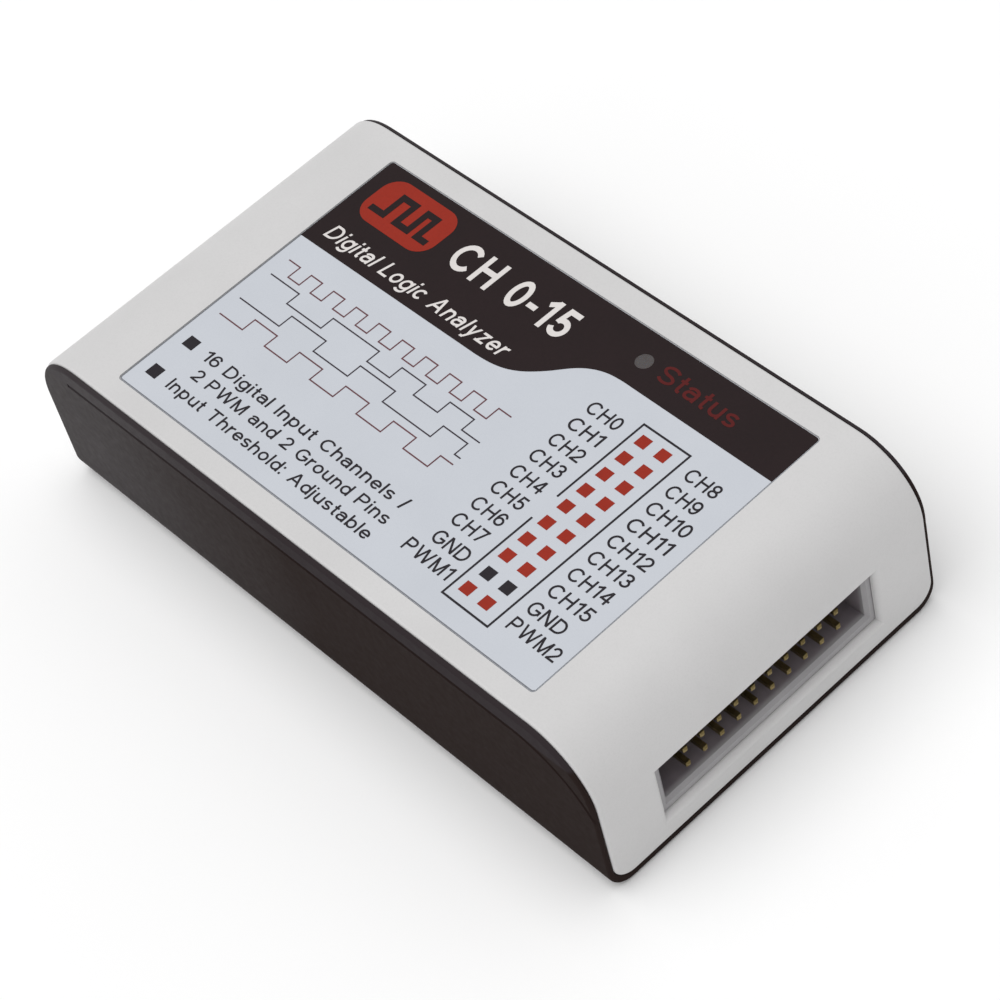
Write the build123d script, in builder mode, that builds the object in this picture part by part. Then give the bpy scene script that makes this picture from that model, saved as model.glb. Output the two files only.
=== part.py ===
from build123d import *
import os

# ---------------------------------------------------------------------------
# 16-channel USB logic analyzer in a two-piece plastic box.
# Frame: origin at the centre of the underside, +Z up, +X towards the end with
# the pin header (front), -X towards the USB inlet (rear). All sizes in mm.
# ---------------------------------------------------------------------------

os.makedirs("parts", exist_ok=True)

# ---- overall box -----------------------------------------------------------
LENGTH = 93.0            # along X, over the white cover
WIDTH = 50.0             # along Y, over the tray's side walls
HEIGHT = 23.0            # underside to the top face
END_R = 8.6              # radius where the top turns down into the end faces
CORNER_R = 3.0           # lower corners of the end faces, seen from the front

# ---- white cover -----------------------------------------------------------
COVER_W = 48.8           # width of the cover between the tray's rims
COVER_T = 2.0            # wall thickness
COVER_Z0 = 1.30          # lower edge of its end walls
COVER_EDGE_R = 0.35      # rounding of its long edges

# ---- dark tray -------------------------------------------------------------
TRAY_IN = 0.20           # the tray's outline stands this far inside the cover's
RIM_T = 0.52             # rim seen beside the cover
WALL_T = 2.2             # full side wall
FLOOR_T = 1.8
RIM_EDGE_R = 0.45        # rounding of the rim's outer edge
GROOVE_LEAN = 0.48       # shadow line on the side walls: height of the leaning face
GROOVE_D = 0.20          # depth at its foot
GROOVE_DROP = 2.75       # below the tray's top outline

# ---- label and light window ------------------------------------------------
LABEL_X0, LABEL_X1 = -33.2, 35.8
LABEL_Y0, LABEL_Y1 = -21.5, 21.0
LABEL_R = 0.45
LABEL_POCKET = 0.26      # depth of the pocket in the cover
LABEL_T = 0.18
LIGHT_X, LIGHT_Y = 12.95, 17.2
LIGHT_R = 1.15

# ---- circuit board ---------------------------------------------------------
PCB_T = 1.6
PCB_Z1 = 4.65            # component side
PCB_Z0 = PCB_Z1 - PCB_T
PCB_X0, PCB_X1 = -43.6, 43.0
PCB_HALF_W = 22.1

# ---- pin header, 2 x 10, 2.54 pitch ----------------------------------------
PITCH = 2.54
COLS = 10
PIN_W = 0.64
HDR_L = 33.1             # outside length of the shroud (Y)
HDR_H = 8.9              # outside height
HDR_CAV_L = 30.5
HDR_CAV_H = 6.5
HDR_Z = PCB_Z1 + HDR_H / 2       # centre of the shroud, 9.10
HDR_X1 = 45.65           # mouth, a little inside the cover's front face
HDR_LEAD = 0.42          # lead-in chamfer around the cavity's mouth
HDR_X0 = 36.25           # back
HDR_FLOOR_X = 38.85      # bottom of the cavity
PIN_TIP_X = 45.4
PIN_ROW_X = (35.0, 32.46)        # where the lower and the upper row go down

# ---- window for the header in the front wall -------------------------------
WIN_HALF_L = 16.30       # half length of the window
WIN_Z0, WIN_Z1 = 4.46, 12.78
WIN_R = 0.75             # soft rounding of the window's outer edge

# ---- USB inlet, type B ------------------------------------------------------
USB_W = 12.04
USB_H = 10.9
USB_X0 = -46.3           # mouth
USB_X1 = -30.3
USB_Z = PCB_Z1 + USB_H / 2

# ---- fasteners --------------------------------------------------------------
POST_X = 37.4
POST_XR = -37.4
POST_Y = 19.55
SCREW_R = 1.25           # M2.5 self-tapping
HEAD_R = 2.25
HEAD_H = 1.3
HEAD_Z0 = 0.25
SCREW_TOP = 14.2
POSTS = [(POST_X, POST_Y), (POST_X, -POST_Y), (POST_XR, POST_Y), (POST_XR, -POST_Y)]


# ===========================================================================
# Casing
# ===========================================================================

# --- white cover: arch over the top and both ends ---------------------------
hx = LENGTH / 2
with BuildPart() as top_cover:
    with BuildSketch(Plane.XZ) as s_out:
        with Locations((0, HEIGHT / 2)):
            Rectangle(LENGTH, HEIGHT)
        fillet(s_out.vertices().group_by(Axis.Y)[-1], END_R)
    extrude(amount=COVER_W / 2, both=True)
    # keep only what lies inside the front view: rounded lower corners
    with BuildSketch(Plane.YZ) as s_front:
        with Locations((0, (COVER_Z0 + HEIGHT + 2) / 2)):
            Rectangle(COVER_W, HEIGHT + 2 - COVER_Z0)
        fillet(s_front.vertices().group_by(Axis.Y)[0], CORNER_R - 0.35)
    extrude(amount=LENGTH, both=True, mode=Mode.INTERSECT)
    # soft rounding along the arch's outer edges
    rim = [e for e in top_cover.edges()
           if abs(abs(e.center().Y) - COVER_W / 2) < 0.01 and e.center().Z > COVER_Z0 + 1.0
           and e.length > 0.5]
    fillet(rim, COVER_EDGE_R)
    # hollow it: the inside follows the outline at the wall thickness
    with BuildSketch(Plane.XZ) as s_in:
        with Locations((0, (HEIGHT - COVER_T) / 2 - 2)):
            Rectangle(LENGTH - 2 * COVER_T, HEIGHT - COVER_T + 4)
        fillet(s_in.vertices().group_by(Axis.Y)[-1], END_R - COVER_T)
    extrude(amount=WIDTH, both=True, mode=Mode.SUBTRACT)
    # pocket for the label
    with BuildSketch(Plane.XY.offset(HEIGHT - LABEL_POCKET)) as s_lab:
        with Locations(((LABEL_X0 + LABEL_X1) / 2, (LABEL_Y0 + LABEL_Y1) / 2)):
            RectangleRounded(LABEL_X1 - LABEL_X0 + 0.24, LABEL_Y1 - LABEL_Y0 + 0.24, LABEL_R + 0.12)
    extrude(amount=2, mode=Mode.SUBTRACT)
    # screw posts down to the board
    with BuildSketch(Plane.XY.offset(PCB_Z1)) as s_posts:
        with Locations(*POSTS):
            Circle(2.75)
    extrude(amount=HEIGHT - COVER_T - PCB_Z1 + 0.3)
    # gussets from each post to the near end wall
    with BuildSketch(Plane.XY.offset(HEIGHT - COVER_T - 5.0)) as s_gus:
        with Locations((POST_X + 3.6, POST_Y), (POST_X + 3.6, -POST_Y),
                       (POST_XR - 3.6, POST_Y), (POST_XR - 3.6, -POST_Y)):
            Rectangle(4.2, 1.2)
    extrude(amount=4.4)
    # cross ribs under the top
    with BuildSketch(Plane.XY.offset(HEIGHT - COVER_T - 2.4)) as s_ribs:
        with Locations((-22, 0), (0, 0), (22, 0)):
            Rectangle(1.2, 41.0)
    extrude(amount=2.6)
    # sleeve for the light pipe
    with BuildSketch(Plane.XY.offset(HEIGHT - COVER_T - 4.5)) as s_slv:
        with Locations((LIGHT_X, LIGHT_Y)):
            Circle(2.4)
    extrude(amount=4.7)
    with BuildSketch(Plane.XY.offset(HEIGHT - COVER_T - 4.5)) as s_slvh:
        with Locations((LIGHT_X, LIGHT_Y)):
            Circle(LIGHT_R)
    extrude(amount=12, mode=Mode.SUBTRACT)
    # pilot holes for the screws
    with BuildSketch(Plane.XY.offset(PCB_Z1)) as s_pil:
        with Locations(*POSTS):
            Circle(SCREW_R)
    extrude(amount=SCREW_TOP + 0.4 - PCB_Z1, mode=Mode.SUBTRACT)
    # front wall: seat for the shroud from inside, and the window in front of
    # it with a soft outer edge
    with BuildSketch(Plane.YZ.offset(30.0)) as s_seat:
        with Locations((0, HDR_Z)):
            Rectangle(HDR_L + 0.2, HDR_H + 0.2)
    extrude(amount=HDR_X1 + 0.08 - 30.0, mode=Mode.SUBTRACT)
    with BuildSketch(Plane.YZ.offset(40.0)) as s_win:
        with Locations((0, (WIN_Z0 + WIN_Z1) / 2)):
            Rectangle(2 * WIN_HALF_L, WIN_Z1 - WIN_Z0)
    extrude(amount=12, mode=Mode.SUBTRACT)
    mouth = [e for e in top_cover.edges()
             if abs(e.center().X - hx) < 0.01 and abs(e.center().Y) < WIN_HALF_L + 0.01
             and WIN_Z0 - 0.01 < e.center().Z < WIN_Z1 + 0.01]
    fillet(mouth, WIN_R)
    # rear wall: opening for the USB inlet
    with BuildSketch(Plane.YZ.offset(-hx - 1)) as s_usb:
        with Locations((0, USB_Z)):
            RectangleRounded(USB_W + 0.5, USB_H + 0.5, 0.4)
    extrude(amount=6, mode=Mode.SUBTRACT)
top_cover.part.label = "top_cover"
export_step(top_cover.part, "parts/top_cover.step")

# --- dark tray: floor and two full-height side walls ------------------------
thx = LENGTH / 2 - TRAY_IN
ttop = HEIGHT - TRAY_IN
tr = END_R - TRAY_IN

# space that the tray leaves for the cover: outside the cover's inner surface
# and between the two rims
with BuildPart() as cover_room:
    with BuildSketch(Plane.YZ) as t_room:
        with Locations((0, COVER_Z0 - 0.05 + 15)):
            Rectangle(WIDTH - 2 * RIM_T, 30)
        fillet(t_room.vertices().group_by(Axis.Y)[0], CORNER_R - 0.3)
    extrude(amount=LENGTH, both=True)
    with BuildSketch(Plane.XZ) as t_core:
        with Locations((0, (HEIGHT - COVER_T - 0.05) / 2 - 5)):
            Rectangle(LENGTH - 2 * COVER_T - 0.1, HEIGHT - COVER_T - 0.05 + 10)
        fillet(t_core.vertices().group_by(Axis.Y)[-1], END_R - COVER_T - 0.05)
    extrude(amount=WIDTH, both=True, mode=Mode.SUBTRACT)

with BuildPart() as bottom_case:
    with BuildSketch(Plane.XZ) as t_out:
        with Locations((0, ttop / 2)):
            Rectangle(2 * thx, ttop)
        fillet(t_out.vertices().group_by(Axis.Y)[-1], tr)
    extrude(amount=WIDTH / 2, both=True)
    with BuildSketch(Plane.YZ) as t_front:
        with Locations((0, HEIGHT / 2)):
            Rectangle(WIDTH, HEIGHT)
        fillet(t_front.vertices().group_by(Axis.Y)[0], CORNER_R)
    extrude(amount=LENGTH, both=True, mode=Mode.INTERSECT)
    # rounded outer edge, one tangent chain around each end and along the rims
    chain = bottom_case.edges().filter_by(
        lambda e: abs(abs((e @ 0.5).Y) - WIDTH / 2) < 0.01 and (e @ 0.5).Z > CORNER_R + 0.2)
    fillet(chain, RIM_EDGE_R)
    add(cover_room.part, mode=Mode.SUBTRACT)
    # inside
    with BuildSketch(Plane.YZ) as t_cav:
        with Locations((0, FLOOR_T + 15)):
            Rectangle(WIDTH - 2 * WALL_T, 30)
        fillet(t_cav.vertices().group_by(Axis.Y)[0], 1.2)
    extrude(amount=LENGTH, both=True, mode=Mode.SUBTRACT)
    # bosses under the board, around the screws
    with BuildSketch(Plane.XY.offset(FLOOR_T - 0.1)) as t_boss:
        with Locations(*POSTS):
            Circle(3.1)
    extrude(amount=PCB_Z0 - FLOOR_T + 0.1)
    # rests under the board's middle
    with BuildSketch(Plane.XY.offset(FLOOR_T - 0.1)) as t_rest:
        with Locations((0, 20.6), (0, -20.6), (-41.0, 10.5), (-41.0, -10.5)):
            Rectangle(3.0, 2.4)
    extrude(amount=PCB_Z0 - FLOOR_T + 0.1)
    # screw holes with counterbores from below
    with Locations(*[Location((x, y, 0), (180, 0, 0)) for x, y in POSTS]):
        CounterBoreHole(radius=SCREW_R + 0.15, counter_bore_radius=HEAD_R + 0.25,
                        counter_bore_depth=HEAD_Z0 + HEAD_H, depth=8)
    # shadow line on both side walls, following the outline over the front
    # shoulder: a shallow V whose upper face leans in
    gz = ttop - GROOVE_DROP
    for side in (-1, 1):
        with BuildLine() as gl:
            g1 = Line((-39.8, side * WIDTH / 2, gz), (35.4, side * WIDTH / 2, gz))
            TangentArc(g1 @ 1, (46.6, side * WIDTH / 2, 12.0), tangent=g1 % 1)
        with BuildSketch(Plane(origin=g1 @ 0, x_dir=(0, side, 0), z_dir=(side, 0, 0))) as gs:
            with BuildLine() as gp:
                Polyline((0.08, GROOVE_LEAN), (0.08, -0.30), (-GROOVE_D, -0.06),
                         (-GROOVE_D, 0.06), close=True)
            make_face()
        sweep(path=gl.wires()[0], mode=Mode.SUBTRACT)
bottom_case.part.label = "bottom_case"
export_step(bottom_case.part, "parts/bottom_case.step")

# --- printed label in its pocket --------------------------------------------
with BuildPart() as top_label:
    with BuildSketch(Plane.XY.offset(HEIGHT - LABEL_POCKET)) as l_sk:
        with Locations(((LABEL_X0 + LABEL_X1) / 2, (LABEL_Y0 + LABEL_Y1) / 2)):
            RectangleRounded(LABEL_X1 - LABEL_X0, LABEL_Y1 - LABEL_Y0, LABEL_R)
        with Locations((LIGHT_X, LIGHT_Y)):
            Circle(LIGHT_R, mode=Mode.SUBTRACT)
    extrude(amount=LABEL_T)
top_label.part.label = "top_label"
export_step(top_label.part, "parts/top_label.step")

# --- light pipe: from above the status LED up to the label ------------------
with BuildPart() as light_pipe:
    with BuildSketch(Plane.XY.offset(PCB_Z1 + 1.4)) as lp:
        with Locations((LIGHT_X, LIGHT_Y)):
            Circle(LIGHT_R - 0.05)
    extrude(amount=HEIGHT - LABEL_POCKET + LABEL_T - 0.02 - (PCB_Z1 + 1.4))
    with BuildSketch(Plane.XY.offset(HEIGHT - COVER_T - 4.5 - 1.2)) as lpf:
        with Locations((LIGHT_X, LIGHT_Y)):
            Circle(2.0)
    extrude(amount=1.2)
    chamfer(light_pipe.faces().sort_by(Axis.Z)[0].edges(), 0.3)
light_pipe.part.label = "status_light_pipe"
export_step(light_pipe.part, "parts/status_light_pipe.step")

# --- four self-tapping screws from below ------------------------------------
with BuildPart() as case_screws:
    with BuildSketch(Plane.XY.offset(HEAD_Z0)) as sc_head:
        with Locations(*POSTS):
            Circle(HEAD_R)
    extrude(amount=HEAD_H)
    fillet(case_screws.edges().filter_by(GeomType.CIRCLE).group_by(Axis.Z)[0], 0.45)
    with BuildSketch(Plane.XY.offset(HEAD_Z0 + HEAD_H)) as sc_shank:
        with Locations(*POSTS):
            Circle(SCREW_R - 0.02)
    extrude(amount=SCREW_TOP - HEAD_Z0 - HEAD_H)
    chamfer(case_screws.edges().filter_by(GeomType.CIRCLE).group_by(Axis.Z)[-1], 0.7)
    with BuildSketch(Plane.XY.offset(HEAD_Z0)) as sc_cross:
        with Locations(*POSTS):
            Rectangle(2.5, 0.55)
            Rectangle(0.55, 2.5)
    extrude(amount=0.8, mode=Mode.SUBTRACT)
case_screws.part.label = "case_screws"
export_step(case_screws.part, "parts/case_screws.step")

# ===========================================================================
# Circuit board and sockets
# ===========================================================================
cols_y = [(i - (COLS - 1) / 2) * PITCH for i in range(COLS)]
pin_rows = [(PIN_ROW_X[0], HDR_Z - PITCH / 2), (PIN_ROW_X[1], HDR_Z + PITCH / 2)]
USB_TAILS = [(-33.6, 1.25), (-33.6, -1.25), (-31.6, 1.25), (-31.6, -1.25)]
USB_TABS = [(-36.2, USB_W / 2 - 0.2), (-36.2, -USB_W / 2 + 0.2)]

with BuildPart() as main_pcb:
    with BuildSketch(Plane.XY.offset(PCB_Z0)) as pcb_sk:
        with Locations(((PCB_X0 + PCB_X1) / 2, 0)):
            RectangleRounded(PCB_X1 - PCB_X0, 2 * PCB_HALF_W, 1.0)
        with Locations(*POSTS):
            Circle(SCREW_R + 0.2, mode=Mode.SUBTRACT)
        with Locations(*[(r[0], y) for r in pin_rows for y in cols_y]):
            Circle(0.5, mode=Mode.SUBTRACT)
        with Locations(*USB_TAILS):
            Circle(0.5, mode=Mode.SUBTRACT)
        with Locations(*USB_TABS):
            SlotOverall(2.6, 1.1, mode=Mode.SUBTRACT)
    extrude(amount=PCB_T)
main_pcb.part.label = "main_pcb"
export_step(main_pcb.part, "parts/main_pcb.step")

# --- box header: shroud with a polarising slot, twenty right-angle pins -----
with BuildPart() as header_shroud:
    with BuildSketch(Plane.YZ.offset(HDR_X0)) as hs:
        with Locations((0, HDR_Z)):
            Rectangle(HDR_L, HDR_H)
    extrude(amount=HDR_X1 - HDR_X0)
    with BuildSketch(Plane.YZ.offset(HDR_FLOOR_X)) as hc:
        with Locations((0, HDR_Z)):
            Rectangle(HDR_CAV_L, HDR_CAV_H)
    extrude(amount=10, mode=Mode.SUBTRACT)
    lead_edges = [e for e in header_shroud.edges()
                  if abs(e.center().X - HDR_X1) < 0.01
                  and abs(e.center().Y) < HDR_CAV_L / 2 + 0.01
                  and abs(e.center().Z - HDR_Z) < HDR_CAV_H / 2 + 0.01]
    chamfer(lead_edges, HDR_LEAD)
    with BuildSketch(Plane.YZ.offset(HDR_X0 - 1)) as hp:
        with Locations(*[(y, r[1]) for r in pin_rows for y in cols_y]):
            Rectangle(PIN_W + 0.02, PIN_W + 0.02)
    extrude(amount=5, mode=Mode.SUBTRACT)
    with BuildSketch(Plane.XY.offset(HDR_Z + HDR_CAV_H / 2 - 0.1)) as hk:
        with Locations((HDR_X1 - 2.6, 0)):
            Rectangle(5.8, 4.5)
    extrude(amount=3, mode=Mode.SUBTRACT)
header_shroud.part.label = "header_shroud"
export_step(header_shroud.part, "parts/header_shroud.step")

with BuildPart() as header_pins:
    for row_x, row_z in pin_rows:
        for y in cols_y:
            with BuildSketch(Plane.XZ.offset(-y)) as pn:
                with BuildLine() as pl:
                    FilletPolyline((PIN_TIP_X, row_z), (row_x, row_z), (row_x, PCB_Z0 - 0.9), radius=0.7)
                trace(line_width=PIN_W)
            extrude(amount=PIN_W / 2, both=True)
    chamfer(header_pins.faces().filter_by(lambda f: abs(f.center().X - PIN_TIP_X) < 0.01).edges(), 0.2)
header_pins.part.label = "header_pins"
export_step(header_pins.part, "parts/header_pins.step")


# --- USB inlet --------------------------------------------------------------
def usb_mouth_points(dy, dz, cut):
    """Outline of the type B mouth in (Y, Z): a rectangle with two cut top corners."""
    return [(-dy, USB_Z - dz), (dy, USB_Z - dz), (dy, USB_Z + dz - cut), (dy - cut, USB_Z + dz),
            (-dy + cut, USB_Z + dz), (-dy, USB_Z + dz - cut)]


with BuildPart() as usb_shell:
    with BuildSketch(Plane.YZ.offset(USB_X0)) as us:
        with Locations((0, USB_Z)):
            RectangleRounded(USB_W, USB_H, 0.5)
    extrude(amount=USB_X1 - USB_X0)
    with BuildSketch(Plane.YZ.offset(USB_X0 + 0.4)) as ui:
        with Locations((0, USB_Z)):
            RectangleRounded(USB_W - 0.8, USB_H - 0.8, 0.2)
    extrude(amount=30, mode=Mode.SUBTRACT)
    with BuildSketch(Plane.YZ.offset(USB_X0 - 1)) as um:
        with BuildLine() as uml:
            Polyline(*usb_mouth_points(4.3, 3.98, 1.7), close=True)
        make_face()
    extrude(amount=3, mode=Mode.SUBTRACT)
    # open underside behind the mouth, where the insulator meets the board
    with BuildSketch(Plane.XY.offset(PCB_Z1 - 1)) as uo:
        with Locations((-33.0, 0)):
            Rectangle(8.0, USB_W - 2.4)
    extrude(amount=1.9, mode=Mode.SUBTRACT)
    # spring leaf slots in the shell's sides
    with BuildSketch(Plane.XZ.offset(-USB_W)) as ul:
        with Locations((-41.0, USB_Z)):
            SlotOverall(5.0, 0.7)
    extrude(amount=2 * USB_W, mode=Mode.SUBTRACT)
    # solder tabs
    with BuildSketch(Plane.XY.offset(PCB_Z0 - 0.8)) as ut:
        with Locations(*USB_TABS):
            Rectangle(1.7, 0.4)
    extrude(amount=3.4)
usb_shell.part.label = "usb_inlet_shell"
export_step(usb_shell.part, "parts/usb_inlet_shell.step")

TONGUE_X1 = -37.2
with BuildPart() as usb_contacts:
    for (tx, ty), up in zip(USB_TAILS, (-1, -1, 1, 1)):
        zt = USB_Z + up * 1.72
        with BuildSketch(Plane.XZ.offset(-ty)) as uc:
            with BuildLine() as ucl:
                FilletPolyline((-43.7, zt), (tx, zt), (tx, PCB_Z0 - 0.8), radius=0.5)
            trace(line_width=0.26)
        extrude(amount=0.45, both=True)
usb_contacts.part.label = "usb_inlet_contacts"
export_step(usb_contacts.part, "parts/usb_inlet_contacts.step")

with BuildPart() as usb_insulator:
    with BuildSketch(Plane.YZ.offset(USB_X0 + 0.45)) as ub:
        with Locations((0, USB_Z)):
            Rectangle(USB_W - 0.9, USB_H - 0.9)
    extrude(amount=USB_X1 - USB_X0 - 0.55)
    with BuildSketch(Plane.YZ.offset(USB_X0)) as uv:
        with BuildLine() as uvl:
            Polyline(*usb_mouth_points(4.22, 3.9, 1.65), close=True)
        make_face()
        with Locations((0, USB_Z)):
            Rectangle(5.6, 3.16, mode=Mode.SUBTRACT)
    extrude(amount=TONGUE_X1 - USB_X0, mode=Mode.SUBTRACT)
    with BuildSketch(Plane.YZ.offset(USB_X0)) as uf:
        with Locations((0, USB_Z)):
            Rectangle(6.0, 3.6)
    extrude(amount=2.2, mode=Mode.SUBTRACT)
    add(usb_contacts.part, mode=Mode.SUBTRACT)
usb_insulator.part.label = "usb_inlet_insulator"
export_step(usb_insulator.part, "parts/usb_inlet_insulator.step")


# ===========================================================================
# Parts on the board
# ===========================================================================
def chip(cx, cy, dx, dy, h, standoff=0.1, cut=0.12):
    """A moulded package body with a slight draft at its top edges."""
    with BuildPart() as b:
        with BuildSketch(Plane.XY.offset(PCB_Z1 + standoff)) as s:
            with Locations((cx, cy)):
                Rectangle(dx, dy)
        extrude(amount=h)
        chamfer(b.faces().sort_by(Axis.Z)[-1].edges(), cut)
    return b.part


def gull(body_edge, reach, width, t=0.16, z_mid=0.85):
    """One gull-wing lead pointing to +X from x = body_edge, foot on the board."""
    with BuildPart() as g:
        with BuildSketch(Plane.XZ) as s:
            with BuildLine() as ln:
                Polyline((body_edge, PCB_Z1 + z_mid), (body_edge + reach * 0.35, PCB_Z1 + z_mid),
                         (body_edge + reach * 0.5, PCB_Z1 + t / 2), (body_edge + reach, PCB_Z1 + t / 2))
            trace(line_width=t)
        extrude(amount=width / 2, both=True)
        split(bisect_by=Plane(origin=(body_edge, 0, 0), z_dir=(1, 0, 0)), keep=Keep.TOP)
    return g.part


def lead_set(lead, spots):
    """Copies of one lead at (x, y, angle) spots, as one group."""
    with BuildPart() as g:
        with Locations(*[Location((x, y, 0), (0, 0, a)) for x, y, a in spots]):
            add(lead)
    return g.part


def group(parts):
    """Several separate solids in one node."""
    with BuildPart() as g:
        for p in parts:
            add(p)
    return g.part


def save(part, name):
    part.label = name
    export_step(part, "parts/" + name + ".step")


# --- FPGA, 20 mm quad flat pack, 36 leads a side ----------------------------
FX, FY = 7.0, -5.5
save(chip(FX, FY, 20.0, 20.0, 1.45), "fpga_body")
fp_lead = gull(10.0, 1.0, 0.22)
save(lead_set(fp_lead, [(FX + (i - 17.5) * 0.5 * sy, FY + (i - 17.5) * 0.5 * sx, a)
                        for a, sx, sy in ((0, 1, 0), (90, 0, 1), (180, 1, 0), (270, 0, 1))
                        for i in range(36)]), "fpga_leads")

# --- sample memory, 54-lead thin package ------------------------------------
MX, MY = -13.0, -5.5
save(chip(MX, MY, 10.16, 22.2, 1.0), "memory_body")
mem_lead = gull(5.08, 0.8, 0.36, t=0.13, z_mid=0.6)
save(lead_set(mem_lead, [(MX, MY + (i - 13) * 0.8, a) for a in (0, 180) for i in range(27)]),
     "memory_leads")

# --- USB controller, leadless package ---------------------------------------
save(chip(-26.0, 0.0, 8.0, 8.0, 0.9, standoff=0.0, cut=0.08), "usb_controller")

# --- configuration flash, 8 leads -------------------------------------------
save(chip(-26.0, -10.0, 3.9, 4.9, 1.45), "config_flash_body")
save(lead_set(gull(1.95, 1.05, 0.42), [(-26.0, -10.0 + (i - 1.5) * 1.27, a) for a in (0, 180)
                                       for i in range(4)]), "config_flash_leads")

# --- input buffers, four 20-lead packages -----------------------------------
buf_y = (-16.2, -5.4, 5.4, 16.2)
save(group([chip(26.0, y, 4.4, 6.5, 0.95) for y in buf_y]), "input_buffer_bodies")
save(lead_set(gull(2.2, 1.0, 0.25, t=0.14, z_mid=0.6),
              [(26.0, y + (i - 4.5) * 0.65, a) for y in buf_y for a in (0, 180) for i in range(10)]),
     "input_buffer_leads")

# --- small parts -------------------------------------------------------------
save(group([chip(30.8, -13.3 + i * 3.8, 1.5, 3.2, 0.55, standoff=0.0, cut=0.05) for i in range(8)]),
     "input_resistor_arrays")
save(group([chip(20.9, -13.3 + i * 3.8, 1.3, 2.9, 1.0, standoff=0.0, cut=0.1) for i in range(8)]),
     "input_clamp_diodes")
save(group([chip(-38.6, s * 11.6, 3.5, 6.5, 1.6, standoff=0.0, cut=0.15) for s in (1, -1)]),
     "voltage_regulator_bodies")
save(group([chip(-36.0, s * 11.6, 1.7, 3.0, 0.25, standoff=0.0, cut=0.03) for s in (1, -1)]
           + [chip(-41.2, s * 11.6 + k * 2.3, 1.7, 0.7, 0.25, standoff=0.0, cut=0.03)
              for s in (1, -1) for k in (-1, 0, 1)]), "voltage_regulator_leads")
save(group([chip(x, -17.6, 3.5, 2.8, 1.9, standoff=0.0, cut=0.15) for x in (-31.0, -26.2, -21.4)]),
     "tantalum_capacitors")
save(chip(-29.6, 16.4, 6.0, 6.0, 2.8, standoff=0.0, cut=0.6), "power_inductor")
save(chip(-21.6, 16.4, 4.5, 3.2, 0.8, standoff=0.0, cut=0.08), "resettable_fuse")
cap_spots = ([(FX - 8 + i * 4, FY + 13.2) for i in range(5)] + [(FX - 8 + i * 4, FY - 13.2) for i in range(5)]
             + [(-20.3, 3.4 - i * 3.4) for i in range(5)] + [(-6.0, 16.2), (-2.4, 16.2), (-6.0, 18.6), (-2.4, 18.6)])
save(group([chip(x, y, 1.6, 0.8, 0.8, standoff=0.0, cut=0.06) for x, y in cap_spots]),
     "ceramic_capacitors")
res_spots = [(2.6, 12.6), (2.6, 14.6), (2.6, 16.6), (5.6, 12.6), (5.6, 14.6), (5.6, 16.6), (9.2, 17.3)]
save(group([chip(x, y, 1.6, 0.8, 0.45, standoff=0.0, cut=0.04) for x, y in res_spots]),
     "chip_resistors")

# --- crystal in a drawn metal can -------------------------------------------
with BuildPart() as crystal:
    with BuildSketch(Plane.XY.offset(PCB_Z1)) as c0:
        with Locations((-26.0, 9.8)):
            SlotOverall(11.35, 4.65)
    extrude(amount=0.5)
    with BuildSketch(Plane.XY.offset(PCB_Z1 + 0.5)) as c1:
        with Locations((-26.0, 9.8)):
            SlotOverall(10.3, 3.6)
    extrude(amount=3.0)
    fillet(crystal.faces().sort_by(Axis.Z)[-1].edges(), 0.4)
save(crystal.part, "crystal_can")

# --- status LED under the light pipe ----------------------------------------
with BuildPart() as led:
    with BuildSketch(Plane.XY.offset(PCB_Z1)) as d0:
        with Locations((LIGHT_X, LIGHT_Y)):
            Rectangle(2.0, 1.25)
    extrude(amount=0.35)
    with BuildSketch(Plane.XY.offset(PCB_Z1 + 0.35)) as d1:
        with Locations((LIGHT_X, LIGHT_Y)):
            Rectangle(1.3, 1.15)
    extrude(amount=0.75, taper=6)
save(led.part, "status_led")
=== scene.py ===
import math

import bpy
from mathutils import Matrix, Vector
from mathutils.geometry import delaunay_2d_cdt, tessellate_polygon


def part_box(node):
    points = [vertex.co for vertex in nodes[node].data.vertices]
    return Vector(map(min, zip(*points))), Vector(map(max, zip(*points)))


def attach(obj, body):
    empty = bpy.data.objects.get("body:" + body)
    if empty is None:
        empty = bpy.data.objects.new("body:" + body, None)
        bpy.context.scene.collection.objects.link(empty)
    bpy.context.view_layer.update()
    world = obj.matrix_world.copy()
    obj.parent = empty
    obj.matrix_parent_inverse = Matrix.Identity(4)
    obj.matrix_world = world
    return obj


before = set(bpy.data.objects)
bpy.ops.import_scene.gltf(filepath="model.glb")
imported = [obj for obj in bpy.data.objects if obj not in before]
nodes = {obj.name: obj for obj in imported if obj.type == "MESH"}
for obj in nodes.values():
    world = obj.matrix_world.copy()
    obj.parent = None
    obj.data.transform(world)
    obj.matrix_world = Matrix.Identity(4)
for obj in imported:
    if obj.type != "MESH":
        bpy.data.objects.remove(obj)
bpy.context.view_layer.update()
scene = bpy.context.scene
MM = 0.001


# ---------------------------------------------------------------------------
# Node materials
# ---------------------------------------------------------------------------
def lin(r, g, b):
    """sRGB 0..255 to a linear RGBA colour."""
    def one(v):
        v /= 255.0
        return v / 12.92 if v <= 0.04045 else ((v + 0.055) / 1.055) ** 2.4
    return (one(r), one(g), one(b), 1.0)


def scaled(c, k):
    return (c[0] * k, c[1] * k, c[2] * k, 1.0)


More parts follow.
